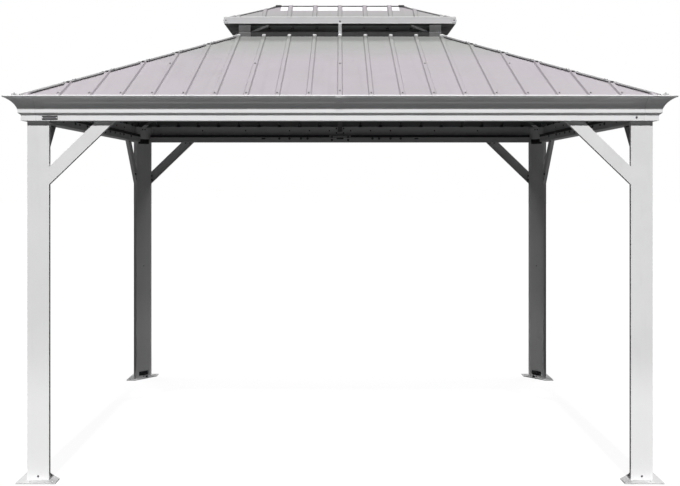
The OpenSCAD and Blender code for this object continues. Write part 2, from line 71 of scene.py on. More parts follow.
# sections that the boxes don't tell, as in the CAD source
CAP_T = 4 * MM
CAP_W = 14 * MM
SEAM_PITCH = 188 * MM
SEAM_BASE = 36 * MM
SEAM_H = 12 * MM
BEAM_W = 60 * MM
BRACE_FACE = 77 * MM
BRACE_WALL = 3 * MM
POST_LIP = 24 * MM
FASCIA_OUT = 28 * MM
FASCIA_H = 34 * MM
FILLET_OUT = 43 * MM
FILLET_Z = 46 * MM
FILLET_H = 20 * MM
COVE_R = 105 * MM
COVE_TOP = 133 * MM
COVE_OUT = 104 * MM
BEAD_D = 9 * MM
CORNER_ARM = 175 * MM
HANG_L = 36 * MM
HANG_H = 10 * MM
HANG_X = 706 * MM
HANG_Y = 520 * MM
PURLIN_RUN = 505 * MM
SHEET_T = 4 * MM
RAFTER_H = 60 * MM
SLOT_W = 112 * MM
SLOT_H = 44 * MM
SLOT_RISE = 15 * MM
SLOT_DROP = 17 * MM
VENT_WALL = 3 * MM
BRACKET_W = 87 * MM
BRACKET_D = 60 * MM
BRACKET_T = 4 * MM
UPRIGHT_W = 28 * MM

HALF_L = -post_low.x
HALF_W = -post_low.y
POST_LEG = post_high.x - post_low.x
BEAM_Z = beam_low.z
BEAM_H = beam_high.z - beam_low.z
RIM_Z = gutter_high.z
RIM_OUT = -gutter_low.y - HALF_W
GUTTER_H = RIM_Z - BEAM_Z
EAVE_OUT = -roof_low.y - HALF_W
OPEN_Y = -roof_high.y
ROOF_RUN = HALF_W - OPEN_Y
OPEN_X = HALF_L - ROOF_RUN
OPEN_Z = caps_high.z - CAP_T
SLOPE = (OPEN_Z - caps_low.z) / (ROOF_RUN + EAVE_OUT)
SHEET_Z = caps_low.z + EAVE_OUT * SLOPE
VENT_X = -vent_low.x
VENT_Y = -vent_low.y
VENT_Z = vent_low.z
VENT_H = vent_high.z - vent_low.z
VENT_ROOF_X = -vent_caps_low.x
VENT_ROOF_Y = -vent_caps_low.y
VENT_EAVE_Z = vent_caps_low.z
VENT_RIDGE_Z = vent_caps_high.z - CAP_T
VENT_RIDGE_X = -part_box("vent_roof_left")[1].x
VENT_RISE = VENT_RIDGE_Z - VENT_EAVE_Z
PLATE_T = plate_high.z
BRACE_LONG = brace_high.x - brace_low.x
BRACE_DROP = brace_high.z - brace_low.z
BRACE_SHORT = short_high.y - short_low.y

SIDES = {
    # side: (turn about Z that brings the front there, reach to its post faces, half length)
    "front": (0.0, HALF_W, HALF_L),
    "rear": (math.pi, HALF_W, HALF_L),
    "left": (-math.pi / 2, HALF_L, HALF_W),
    "right": (math.pi / 2, HALF_L, HALF_W),
}
LONG_SIDES = ("front", "rear")
CORNERS = {
    # corner: (sign of x, sign of y)
    "front_left": (-1, -1), "front_right": (1, -1), "rear_left": (-1, 1), "rear_right": (1, 1),
}


# ---- camera, light and floor ----

def add_camera():
    """A level view along +Y; the shift keeps the uprights parallel."""
    eye_height = 1.802
    eye_distance = 4.857
    data = bpy.data.cameras.new("camera")
    data.sensor_width = 36.0
    data.lens = 42.67
    data.shift_y = -0.0897
    data.clip_start, data.clip_end = 0.05, 200.0
    camera = bpy.data.objects.new("camera", data)
    camera.location = (0.0, -HALF_W - eye_distance, eye_height)
    camera.rotation_euler = (math.radians(90.0), 0.0, 0.0)
    bpy.context.scene.collection.objects.link(camera)
    bpy.context.scene.camera = camera


def add_sun(name, azimuth, elevation, strength, spread):
    """A sun whose light comes from that azimuth (0 is the front) and elevation, in degrees."""
    data = bpy.data.lights.new(name, "SUN")
    data.energy = strength
    data.angle = math.radians(spread)
    sun = bpy.data.objects.new(name, data)
    a, e = math.radians(azimuth), math.radians(elevation)
    towards = Vector((math.sin(a) * math.cos(e), -math.cos(a) * math.cos(e), math.sin(e)))
    sun.rotation_mode = "QUATERNION"
    sun.rotation_quaternion = towards.to_track_quat("Z", "Y")
    bpy.context.scene.collection.objects.link(sun)


def add_lights():
    """A high key light from the front, so that the roof shades what is under it, and soft fills."""
    add_sun("key_front", 0.0, 45.5, 4.05, 2.5)
    add_sun("fill_left", -105.0, 50.0, 0.8, 14.0)
    add_sun("fill_right", 105.0, 50.0, 0.8, 14.0)
    add_sun("fill_rear_left", -132.0, 62.0, 0.9, 14.0)
    add_sun("fill_rear_right", 132.0, 62.0, 0.9, 14.0)


def split_by_ray(tree, lit, seen, output):
    """Shows the camera the shader seen, while light meets the shader lit."""
    mix = tree.nodes.new("ShaderNodeMixShader")
    path = tree.nodes.new("ShaderNodeLightPath")
    out = tree.nodes.new(output)
    tree.links.new(path.outputs["Is Camera Ray"], mix.inputs["Fac"])
    tree.links.new(lit.outputs[0], mix.inputs[1])
    tree.links.new(seen.outputs[0], mix.inputs[2])
    tree.links.new(mix.outputs["Shader"], out.inputs["Surface"])


def add_world():
    """White to the eye, and a dim even sky as a light."""
    world = bpy.data.worlds.new("studio")
    world.use_nodes = True
    bpy.context.scene.world = world
    tree = world.node_tree
    tree.nodes.clear()
    sky = tree.nodes.new("ShaderNodeBackground")
    sky.inputs["Color"].default_value = (0.95, 0.97, 1.0, 1.0)
    sky.inputs["Strength"].default_value = 0.006
    white = tree.nodes.new("ShaderNodeBackground")
    white.inputs["Color"].default_value = (1.0, 1.0, 1.0, 1.0)
    split_by_ray(tree, sky, white, "ShaderNodeOutputWorld")


def floor_material():
    """Pale studio floor: bright to the eye with soft shadows, while it throws little light back."""
    material = bpy.data.materials.new("studio_floor")
    material.use_nodes = True
    tree = material.node_tree
    tree.nodes.clear()
    matt = tree.nodes.new("ShaderNodeBsdfDiffuse")
    matt.inputs["Color"].default_value = (0.094, 0.094, 0.095, 1.0)
    pale = tree.nodes.new("ShaderNodeBsdfDiffuse")
    pale.inputs["Color"].default_value = (0.08, 0.08, 0.08, 1.0)
    glow = tree.nodes.new("ShaderNodeEmission")
    glow.inputs["Strength"].default_value = 0.93
    both = tree.nodes.new("ShaderNodeAddShader")
    tree.links.new(pale.outputs[0], both.inputs[0])
    tree.links.new(glow.outputs[0], both.inputs[1])
    split_by_ray(tree, matt, both, "ShaderNodeOutputMaterial")
    return material


def add_floor():
    half = 60.0
    mesh = bpy.data.meshes.new("studio_floor")
    mesh.from_pydata(
        [(-half, -half, 0), (half, -half, 0), (half, half, 0), (-half, half, 0)], [], [(0, 1, 2, 3)]
    )
    mesh.materials.append(floor_material())
    floor = bpy.data.objects.new("studio_floor", mesh)
    bpy.context.scene.collection.objects.link(floor)


# ---- materials ----

class Finish:
    """A painted or bare metal finish, put together node by node in object space."""

    def __init__(self, name, rough, metallic=0.0):
        self.material = bpy.data.materials.new(name)
        self.material.use_nodes = True
        self.tree = self.material.node_tree
        self.shader = self.tree.nodes["Principled BSDF"]
        self.shader.inputs["Metallic"].default_value = metallic
        self.coords = self.node("TexCoord").outputs["Object"]
        self.rough = rough
        self.colour = None
        self.normal = None

    def node(self, kind):
        return self.tree.nodes.new("ShaderNode" + kind)

    def link(self, source, target):
        self.tree.links.new(source, target)

    def noise(self, scale, detail=3.0, stretch=(1.0, 1.0, 1.0)):
        """Values round 0.5 from a noise with that many lumps a metre."""
        mapping = self.node("Mapping")
        mapping.inputs["Scale"].default_value = stretch
        self.link(self.coords, mapping.inputs["Vector"])
        noise = self.node("TexNoise")
        noise.inputs["Scale"].default_value = scale
        noise.inputs["Detail"].default_value = detail
        self.link(mapping.outputs["Vector"], noise.inputs["Vector"])
        return noise.outputs["Fac"]

    def ramp(self, value, low, high, to_low=0.0, to_high=1.0):
        """A smooth step of value from low to high."""
        step = self.node("MapRange")
        step.interpolation_type = "SMOOTHSTEP"
        for name, number in (("From Min", low), ("From Max", high),
                             ("To Min", to_low), ("To Max", to_high)):
            step.inputs[name].default_value = number
        self.link(value, step.inputs["Value"])
        return step.outputs["Result"]

    def times(self, first, second):
        product = self.node("Math")
        product.operation = "MULTIPLY"
        for socket, value in zip(product.inputs, (first, second)):
            if isinstance(value, float):
                socket.default_value = value
            else:
                self.link(value, socket)
        return product.outputs["Value"]

    def blend(self, mask, first, second):
        """Sets the colour to first where the mask is 0 and to second where it is 1."""
        mix = self.node("Mix")
        mix.data_type = "RGBA"
        self.link(mask, mix.inputs["Factor"])
        for socket, value in ((mix.inputs["A"], first), (mix.inputs["B"], second)):
            if isinstance(value, tuple):
                socket.default_value = (*value, 1.0)
            else:
                self.link(value, socket)
        self.colour = mix.outputs["Result"]

    def component(self, vector, axis):
        split = self.node("SeparateXYZ")
        self.link(vector, split.inputs["Vector"])
        return split.outputs[axis]

    def height(self):
        return self.component(self.coords, "Z")

    def inside(self, half_x, half_y):
        """1 within a rectangle about the origin, seen from above, and 0 outside it."""
        shares = []
        for axis, half in (("X", half_x), ("Y", half_y)):
            size = self.node("Math")
            size.operation = "ABSOLUTE"
            self.link(self.component(self.coords, axis), size.inputs[0])
            shares.append(self.ramp(size.outputs["Value"], half, half - 2 * MM))
        return self.times(*shares)

    def facing_up(self):
        """How far the surface faces up, from -1 to 1."""
        geometry = self.node("NewGeometry")
        return self.component(geometry.outputs["True Normal"], "Z")

    def edges(self, radius):
        """1 on edges and 0 on flats, for wear."""
        bevel = self.node("Bevel")
        bevel.samples = 4
        bevel.inputs["Radius"].default_value = radius
        geometry = self.node("NewGeometry")
        dot = self.node("VectorMath")
        dot.operation = "DOT_PRODUCT"
        self.link(bevel.outputs["Normal"], dot.inputs[0])
        self.link(geometry.outputs["Normal"], dot.inputs[1])
        return self.ramp(dot.outputs["Value"], 0.985, 0.90)

    def bump(self, value, distance, strength=1.0):
        node = self.node("Bump")
        node.inputs["Distance"].default_value = distance
        node.inputs["Strength"].default_value = strength
        self.link(value, node.inputs["Height"])
        if self.normal is not None:
            self.link(self.normal, node.inputs["Normal"])
        self.normal = node.outputs["Normal"]

    def done(self, sheen_noise, spread=0.10):
        """Links the finish to the shader, with roughness that varies with sheen_noise."""
        rough = self.ramp(sheen_noise, 0.3, 0.7, self.rough - spread, self.rough + spread)
        self.link(rough, self.shader.inputs["Roughness"])
        self.link(self.colour, self.shader.inputs["Base Color"])
        if self.normal is not None:
            self.link(self.normal, self.shader.inputs["Normal"])
        return self.material


def tone(colour, factor):
    return tuple(c * factor for c in colour)


FRAME_GREY = (0.71, 0.71, 0.71)
GUTTER_GREY = (0.76, 0.76, 0.765)
RAFTER_GREY = (0.18, 0.18, 0.182)
ROOF_MAUVE = (0.318, 0.292, 0.316)
ROOF_GREY = (0.253, 0.259, 0.249)
# dark back of the main roof sheets: painted shade
ROOF_SHADE_BACK = (0.145, 0.145, 0.147)
VENT_MAUVE = tone(ROOF_MAUVE, 0.92)
VENT_GREY = (0.50, 0.495, 0.505)
VENT_BACK = (0.62, 0.64, 0.63)
# near black: painted shade inside the vent fascia and under the vent's end sheets
VENT_SHADE_DARK = tone(VENT_BACK, 0.03)
ALONG_Y = (1.0, 0.06, 0.06)     # noise scales that draw marks out along Y
ALONG_X = (0.06, 1.0, 0.06)
ALONG_Z = (1.0, 1.0, 0.12)


def powder_coat(name, colour, rough=0.45, along=ALONG_Z, foot=False, painted_shade_inside=None,
                painted_shade_below=None):
    """Fine satin powder coat: soft patches, faint streaks, orange peel and paler worn edges.

    With foot it gets paler towards the ground, as painted light thrown up from the floor.
    Below the height given for painted shade it is darker, as painted shade. Within the two
    half widths given for the dark inside, seen from above, it is near black as painted shade,
    with its upright faces in the middle coloured as the back of the vent sheets.
    """
    finish = Finish(name, rough)
    patches = finish.ramp(finish.noise(2.2, 4.0), 0.35, 0.65)
    finish.blend(patches, tone(colour, 0.975), tone(colour, 1.02))
    streaks = finish.times(finish.ramp(finish.noise(30.0, 3.0, along), 0.52, 0.75), 0.22)
    finish.blend(streaks, finish.colour, tone(colour, 0.88))
    if foot:
        # painted light: paler from 0.85 m down to 0.42 m, as if thrown up from the floor
        painted_foot_light = finish.ramp(finish.height(), 0.85, 0.42)
        finish.blend(painted_foot_light, finish.colour, tone(colour, 1.18))
    wear = finish.times(finish.edges(2.5 * MM), finish.ramp(finish.noise(60.0, 4.0), 0.4, 0.62))
    finish.blend(finish.times(wear, 0.55), finish.colour, tone(colour, 1.25))
    # painted shade: darker below the given height
    if painted_shade_below:
        soft = 8 * MM
        painted_shade = finish.ramp(finish.height(), painted_shade_below + soft, painted_shade_below - soft)
        finish.blend(painted_shade, finish.colour, tone(colour, 0.15))
    # painted shade: near black inside the rectangle, save the upright faces in its middle
    if painted_shade_inside:
        half_x, half_y = painted_shade_inside
        painted_shade_end = 110 * MM
        finish.blend(finish.inside(half_x, half_y), finish.colour, VENT_SHADE_DARK)
        upright = finish.ramp(finish.facing_up(), -0.6, -0.3)
        middle = finish.times(finish.inside(half_x - painted_shade_end, half_y), upright)
        finish.blend(middle, finish.colour, VENT_BACK)
    finish.bump(finish.noise(650.0, 2.0), 0.05 * MM)
    finish.bump(finish.noise(3.0, 2.0), 1.2 * MM, 0.5)
    return finish.done(finish.noise(14.0, 4.0))


def sheet_paint(name, low_colour, high_colour, under, along, z_from, z_to):
    """Coil-coated roofing: a tone that changes up the slope, run marks, dust, and a back colour, which
    where dark is painted shade.
    """
    finish = Finish(name, 0.48)
    finish.shader.inputs["Specular IOR Level"].default_value = 0.2
    finish.blend(finish.ramp(finish.height(), z_from, z_to), low_colour, high_colour)
    dust = finish.times(finish.ramp(finish.noise(3.0, 5.0), 0.35, 0.7), 0.2)
    finish.blend(dust, finish.colour, tone(high_colour, 1.07))
    runs = finish.times(finish.ramp(finish.noise(26.0, 4.0, along), 0.5, 0.72), 0.35)
    finish.blend(runs, finish.colour, tone(low_colour, 0.86))
    specks = finish.times(finish.ramp(finish.noise(240.0, 2.0), 0.66, 0.74), 0.25)
    finish.blend(specks, finish.colour, tone(low_colour, 0.7))
    # faces that look down take the under colour, which is painted shade on the main roof and the vent's
    # end sheets
    back = finish.ramp(finish.facing_up(), -0.1, -0.4)
    finish.blend(back, finish.colour, under)
    finish.bump(finish.noise(500.0, 2.0), 0.04 * MM)
    finish.bump(finish.noise(5.0, 2.0, along), 0.7 * MM, 0.3)
    return finish.done(finish.noise(9.0, 4.0), 0.05)


def bare_metal(name, colour, rough, metallic):
    """Plated or painted screw steel: mottled, with fine scratches."""
    finish = Finish(name, rough, metallic)
    finish.blend(finish.ramp(finish.noise(180.0, 4.0), 0.3, 0.7), tone(colour, 0.8), tone(colour, 1.15))
    finish.bump(finish.noise(900.0, 3.0, (1.0, 0.2, 1.0)), 0.03 * MM)
    return finish.done(finish.noise(300.0, 3.0))


def moulded(name, colour):
    """Grained plastic or rubber."""
    finish = Finish(name, 0.5)
    finish.blend(finish.ramp(finish.noise(40.0, 4.0), 0.3, 0.7), tone(colour, 0.85), tone(colour, 1.15))
    finish.bump(finish.noise(1200.0, 2.0), 0.04 * MM)
    return finish.done(finish.noise(60.0, 3.0))


# posts and braces, with painted light towards the ground
FRAME_PAINT = powder_coat("frame_paint", FRAME_GREY, foot=True)
# the beams' grey at 0.7 of the posts' is painted shade
BEAM_SHADE_PAINT = powder_coat("beam_shade_paint", tone(FRAME_GREY, 0.7), along=ALONG_X)
PLATE_PAINT = powder_coat("plate_paint", (0.56, 0.56, 0.562), 0.5)
GUTTER_PAINT_X = powder_coat("gutter_paint_long", GUTTER_GREY, along=ALONG_X)
GUTTER_PAINT_Y = powder_coat("gutter_paint_short", GUTTER_GREY, along=ALONG_Y)
RAFTER_PAINT = powder_coat("rafter_paint", RAFTER_GREY, 0.5)
# pale paint, with painted shade on its lower part
VENT_PAINT = powder_coat("vent_paint", tone(VENT_GREY, 1.5), 0.48, painted_shade_below=OPEN_Z + 35 * MM)
# near black inside as painted shade
FASCIA_PAINT = powder_coat("vent_fascia_paint", VENT_GREY, 0.48, along=ALONG_X,
                           painted_shade_inside=(VENT_X - 1.5 * MM, VENT_Y - 1.5 * MM))
PALE_PAINT = powder_coat("pale_paint", (0.74, 0.74, 0.75))
LIP_PAINT = powder_coat("lip_paint", (0.60, 0.60, 0.605), 0.48)
COVER_PAINT = powder_coat("hip_cover_paint", (0.215, 0.21, 0.215), 0.5)
CAP_PAINT = powder_coat("cap_paint", (0.30, 0.30, 0.305), 0.5)
# near black caps on the hips and the vent ridge: painted shade
HIP_SHADE_PAINT = powder_coat("hip_shade_paint", (0.065, 0.065, 0.066), 0.5)
ROOF_FADE = (SHEET_Z + 0.25, OPEN_Z - 0.05)
VENT_FADE = (VENT_EAVE_Z, VENT_RIDGE_Z)
ROOF_LONG = sheet_paint("roof_paint_long", ROOF_MAUVE, ROOF_GREY, ROOF_SHADE_BACK, ALONG_Y, *ROOF_FADE)
ROOF_SHORT = sheet_paint("roof_paint_short", ROOF_MAUVE, ROOF_GREY, ROOF_SHADE_BACK, ALONG_X, *ROOF_FADE)
VENT_ROOF = sheet_paint("vent_roof_paint", ROOF_GREY, VENT_MAUVE, VENT_BACK, ALONG_Y, *VENT_FADE)
# its back is near black as painted shade
VENT_ENDS = sheet_paint("vent_end_paint", ROOF_GREY, VENT_MAUVE, VENT_SHADE_DARK, ALONG_X, *VENT_FADE)
DARK_SCREW = bare_metal("dark_screw", (0.10, 0.10, 0.105), 0.45, 0.6)
ROOF_SCREW_PAINT = bare_metal("roof_screw", (0.22, 0.215, 0.22), 0.5, 0.2)
BLACK = moulded("black_plastic", (0.012, 0.012, 0.013))
LABEL_DARK = moulded("label_dark", (0.022, 0.022, 0.024))
LABEL_GREY = moulded("label_grey", (0.13, 0.13, 0.135))
SEAL = moulded("joint_seal", (0.62, 0.62, 0.62))


NODE_PAINTS = (
    # starts of the nodes' names, and their paint; the first row that fits counts
    (("roof_front", "roof_rear"), ROOF_LONG),
    (("roof_left", "roof_right"), ROOF_SHORT),
    (("vent_roof_front", "vent_roof_rear"), VENT_ROOF),
    (("vent_roof_left", "vent_roof_right"), VENT_ENDS),
    (("hip_caps", "vent_caps"), HIP_SHADE_PAINT),
    (("vent_fascia",), FASCIA_PAINT),
    (("vent_",), VENT_PAINT),
    (("gutter_left", "gutter_right"), GUTTER_PAINT_Y),
    (("gutter_",), GUTTER_PAINT_X),
    (("hip_rafter_", "middle_rafters", "purlins", "opening_frame"), RAFTER_PAINT),
    (("beam_",), BEAM_SHADE_PAINT),
    (("base_plate_",), PLATE_PAINT),
    (("post_", "brace_"), FRAME_PAINT),
)


def node_paint(name):
    return next(paint for starts, paint in NODE_PAINTS if name.startswith(starts))


def paint_nodes():
    """Gives every CAD node its finish and softly rounded edges, with its mesh left as it is."""
    for name, obj in nodes.items():
        obj.data.materials.clear()
        obj.data.materials.append(node_paint(name))
        weld = obj.modifiers.new("weld", "WELD")
        weld.merge_threshold = 0.01 * MM
        edge = obj.modifiers.new("edge", "BEVEL")
        edge.width = 1.0 * MM
        edge.segments = 2
        edge.limit_method = "ANGLE"
        edge.angle_limit = math.radians(40.0)
        edge.use_clamp_overlap = True


# ---- shapes: each is a list of vertices and a list of faces ----

def lathe(profile, sides):
    """A closed shape turned about Z from (radius, height) points, base first."""
    verts, faces, rings = [], [], []
    for radius, height in profile:
        ring = []
        for i in range(sides if radius > 0 else 1):
            turn = 2 * math.pi * i / sides
            ring.append(len(verts))
            verts.append((radius * math.cos(turn), radius * math.sin(turn), height))
        rings.append(ring)
    for low, high in zip(rings, rings[1:]):
        for i in range(sides):
            j = (i + 1) % sides
            corners = [low[i % len(low)], low[j % len(low)], high[j % len(high)], high[i % len(high)]]
            faces.append(tuple(dict.fromkeys(corners)))
    if len(rings[0]) > 1:
        faces.append(tuple(reversed(rings[0])))
    if len(rings[-1]) > 1:
        faces.append(tuple(rings[-1]))
    return verts, faces


def prism(outline, low, high):
    """A straight prism over an anticlockwise outline of (x, y) points, from z low to z high."""
    count = len(outline)
    verts = [(x, y, low) for x, y in outline] + [(x, y, high) for x, y in outline]
    faces = [(i, (i + 1) % count, (i + 1) % count + count, i + count) for i in range(count)]
    faces += [tuple(reversed(range(count))), tuple(range(count, 2 * count))]
    return verts, faces


def arc(centre, radius, start, end, steps):
    """Points on an arc, with its angles in degrees."""
    points = []
    for i in range(steps + 1):
        turn = math.radians(start + (end - start) * i / steps)
        points.append((centre[0] + radius * math.cos(turn), centre[1] + radius * math.sin(turn)))
    return points


def rounded(width, height, radius, steps=5):
    """A rectangle about the origin with round corners."""
    x, y = width / 2 - radius, height / 2 - radius
    points = []
    for quarter, (sx, sy) in enumerate(((1, 1), (-1, 1), (-1, -1), (1, -1))):
        points += arc((sx * x, sy * y), radius, 90 * quarter, 90 * quarter + 90, steps)
    return points


def soft_plate(width, height, radius, thick, edge):
    """A plate on z = 0 with round corners and a chamfered front edge."""
    verts, faces = [], []
    rings = []
    for inset, z in ((0.0, 0.0), (0.0, thick - edge), (edge, thick)):
        ring = rounded(width - 2 * inset, height - 2 * inset, max(radius - inset, 0.2 * MM))
        rings.append([len(verts) + i for i in range(len(ring))])
        verts += [(x, y, z) for x, y in ring]
    for low, high in zip(rings, rings[1:]):
        for i in range(len(low)):
            j = (i + 1) % len(low)
            faces.append((low[i], low[j], high[j], high[i]))
    faces.append(tuple(reversed(rings[0])))
    faces.append(tuple(rings[-1]))
    return verts, faces


def placed(shape, matrix):
    """The shape moved by the matrix, with its faces still turned outwards."""
    verts, faces = shape
    moved = [tuple(matrix @ Vector(v)) for v in verts]
    if matrix.determinant() < 0:
        faces = [tuple(reversed(f)) for f in faces]
    return moved, faces


def joined(shapes):
    verts, faces = [], []
    for shape_verts, shape_faces in shapes:
        start = len(verts)
        verts += shape_verts
        faces += [tuple(start + i for i in face) for face in shape_faces]
    return verts, faces


def add_piece(name, shapes, material, smooth_under=35.0):
    """Makes one mesh piece of the shapes, which rides on the gazebo."""
    verts, faces = joined(shapes)
    mesh = bpy.data.meshes.new(name)
    mesh.from_pydata(verts, [], faces)
    mesh.materials.append(material)
    mesh.shade_smooth()
    mesh.set_sharp_from_angle(angle=math.radians(smooth_under))
    piece = bpy.data.objects.new(name, mesh)
    bpy.context.scene.collection.objects.link(piece)
    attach(piece, "root")


# ---- places ----

def at(x, y, z):
    return Matrix.Translation((x, y, z))


def turned(axis, degrees):
    return Matrix.Rotation(math.radians(degrees), 4, axis)


def crosswise(y=0.0, z=0.0):
    """Stands an outline of (y, z) points at that place, with its thickness along X."""
    return Matrix(((0, 0, 1, 0), (1, 0, 0, y), (0, 1, 0, z), (0, 0, 0, 1)))


def facing(side):
    """Brings what is drawn at the front round to that side."""
    return Matrix.Rotation(SIDES[side][0], 4, "Z")


def corner(name):
    """Brings what is drawn from a front-left post corner, towards +X and +Y, to that corner."""
    sx, sy = CORNERS[name]
    return at(sx * HALF_L, sy * HALF_W, 0.0) @ Matrix.Diagonal((-sx, -sy, 1.0, 1.0))


def on_slope(side, along, inward, lift):
    """On a main roof slope, with local Y up the slope and local Z out of it."""
    reach = SIDES[side][1]
    angle = math.degrees(math.atan(SLOPE))
    spot = at(along, inward - reach, SHEET_Z + inward * SLOPE)
    return facing(side) @ spot @ turned("X", angle) @ at(0.0, 0.0, lift)


def on_vent(side, along, inward, lift):
    """On a slope of the vent roof, as on_slope."""
    reach, run = vent_side(side)
    angle = math.degrees(math.atan(VENT_RISE / run))
    spot = at(along, inward - reach, VENT_EAVE_Z + inward * VENT_RISE / run)
    return facing(side) @ spot @ turned("X", angle) @ at(0.0, 0.0, lift)


def vent_side(side):
    """Reach of that side's vent eave, and the run of its slope."""
    if side in LONG_SIDES:
        return VENT_ROOF_Y, VENT_ROOF_Y
    return VENT_ROOF_X, VENT_ROOF_X - VENT_RIDGE_X


OUT = turned("X", 90.0)                         # turns a shape's +Z to point to the front
IN = turned("X", 90.0) @ turned("Y", 180.0)     # and to the back
DIAGONAL = turned("Z", 135.0) @ OUT             # and out of a post's diagonal face
POST_MID = (POST_LEG + POST_LIP) / 2            # middle of that face, from the post corner


def band(half_x, half_y, section):
    """A closed band round a rectangle; section holds (outward, z) points, anticlockwise."""
    verts, faces = [], []
    count = len(section)
    for sx, sy in ((-1, -1), (1, -1), (1, 1), (-1, 1)):
        verts += [(sx * (half_x + out), sy * (half_y + out), z) for out, z in section]
    for k in range(4):
        start, after = k * count, (k + 1) % 4 * count
        for i in range(count):
            j = (i + 1) % count
            faces.append((start + i, after + i, after + j, start + j))
    return verts, faces


def gutter_profile():
    """Outer surface of the gutter moulding, as (reach, height over the beams) points."""
    foot = FILLET_Z + FILLET_H
    chord = Vector((COVE_OUT - FILLET_OUT, COVE_TOP - foot))
    middle = Vector((COVE_OUT + FILLET_OUT, COVE_TOP + foot)) / 2
    sag = math.sqrt(COVE_R ** 2 - chord.length ** 2 / 4)
    centre = middle + Vector((chord.y, -chord.x)).normalized() * sag
    start = math.degrees(math.atan2(foot - centre.y, FILLET_OUT - centre.x))
    end = math.degrees(math.atan2(COVE_TOP - centre.y, COVE_OUT - centre.x))
    neck = RIM_OUT - BEAD_D / 2
    return [
        (FASCIA_OUT, 0.0), (FASCIA_OUT, FASCIA_H), (FILLET_OUT, FILLET_Z), (FILLET_OUT, foot),
        *arc(tuple(centre), COVE_R, start % 360, end % 360, 12)[1:],
        (neck, COVE_TOP), (neck, GUTTER_H - BEAD_D * 0.9),
    ]


def gutter_ribbon(x_from, x_to, thick):
    """A strip that follows the outside of the front gutter moulding."""
    inner = [Vector(point) for point in gutter_profile()]
    outer = []
    for i, point in enumerate(inner):
        before = inner[max(i - 1, 0)]
        after = inner[min(i + 1, len(inner) - 1)]
        sides = [v.normalized() for v in (point - before, after - point) if v.length > 0]
        normal = sum((Vector((v.y, -v.x)) for v in sides), Vector((0.0, 0.0))).normalized()
        widen = normal.dot(Vector((sides[0].y, -sides[0].x)))
        outer.append(point + normal * thick / widen)
    outline = [(point.x, point.y) for point in outer + list(reversed(inner))]
    across = Matrix(((0, 0, 1, 0), (-1, 0, 0, -SIDES["front"][1]), (0, 1, 0, BEAM_Z), (0, 0, 0, 1)))
    return placed(prism(outline, x_from, x_to), across)


# ---- fasteners ----

def hex_head(across, height, washer_d, washer_t):
    """A hexagon head with a domed washer under it, standing on z = 0."""
    radius = across / math.sqrt(3.0)
    washer = lathe([
        (washer_d / 2, 0.0), (washer_d / 2, washer_t * 0.5), (washer_d / 2 - washer_t * 0.6, washer_t),
        (0.0, washer_t)
    ], 20)
    head = lathe([
        (radius, washer_t * 0.9), (radius, washer_t + height * 0.82),
        (radius * 0.86, washer_t + height), (0.0, washer_t + height)
    ], 6)
    return joined([washer, head])


def mirrored(*places):
    """The places and their mirror images about 0."""
    return [way * place for way in (-1, 1) for place in places]


ROOF_SCREW = hex_head(8 * MM, 5 * MM, 16 * MM, 2 * MM)
FRAME_SCREW = hex_head(8 * MM, 4 * MM, 13 * MM, 1.5 * MM)
SMALL_SCREW = hex_head(5.5 * MM, 2.5 * MM, 9 * MM, 1 * MM)
FRAME_BOLT = hex_head(13 * MM, 5.5 * MM, 20 * MM, 1.6 * MM)
ANCHOR = hex_head(17 * MM, 11 * MM, 27 * MM, 2.5 * MM)
RIVET = lathe([(4 * MM, 0.0), (3.7 * MM, 1 * MM), (2.2 * MM, 1.8 * MM), (0.0, 2 * MM)], 14)

# places from the middle of a side
LONG_BOLTS = mirrored(0.30, 0.36, 0.466, 0.56)
SHORT_BOLTS = mirrored(0.22, 0.36, 0.62, 0.86)
WALL_SCREWS = mirrored(0.098, 0.284, 0.470, 0.879, 1.279)


# ---- main roof ----

def seams_of(half_length):
    """Numbers of the standing seams on a slope with that half length."""
    count = math.floor((half_length - SEAM_BASE) / SEAM_PITCH)
    return range(-count, count + 1)


def add_roof_screws():
    """Screws on the seams: one at the eave on each, and one over the purlins on every third."""
    eave_row, middle_seam_row = -16 * MM, 18 * MM
    hip_clearance = 45 * MM
    for side, (_, _, half_length) in SIDES.items():
        screws = []
        for i in seams_of(half_length + EAVE_OUT):
            x = i * SEAM_PITCH
            hip_at = half_length - abs(x)
            rows = [middle_seam_row if i == 0 else eave_row]
            if i % 3 == 0:
                rows.append(PURLIN_RUN)
            for inward in rows:
                if inward < hip_at - hip_clearance:
                    screws.append(placed(ROOF_SCREW, on_slope(side, x, inward, SEAM_H)))
        add_piece("roof_screws_" + side, screws, ROOF_SCREW_PAINT)


HIP_COVER_HALF = 19 * MM                # half width
HIP_COVER_LIFT = SEAM_H + 0.5 * MM      # height of its fold over the sheets


def add_hip_covers():
    """A folded cover over each hip, clear of the seams, with a lip down each long edge."""
    thick, lip = 1.5 * MM, 5 * MM
    past_eave, short_of_top = 34 * MM, 8 * MM
    half, lift = HIP_COVER_HALF, HIP_COVER_LIFT
    edge = lift - half * SLOPE / math.sqrt(2)
    outline = [
        (-half, edge - lip), (thick - half, edge - lip), (thick - half, edge - thick),
        (0.0, lift - thick), (half - thick, edge - thick), (half - thick, edge - lip),
        (half, edge - lip), (half, edge), (0.0, lift), (-half, edge),
    ]
    diagonal = 1 / math.sqrt(2)
    along_hip = Matrix((
        (diagonal, 0, 1, 0), (-diagonal, 0, 1, 0), (0, 1, SLOPE, SHEET_Z), (0, 0, 0, 1),
    ))
    for name in CORNERS:
        shape = prism(outline, -past_eave, ROOF_RUN - short_of_top)
        cover = placed(shape, corner(name) @ along_hip)
        add_piece("hip_cover_" + name, [cover], COVER_PAINT, 15.0)


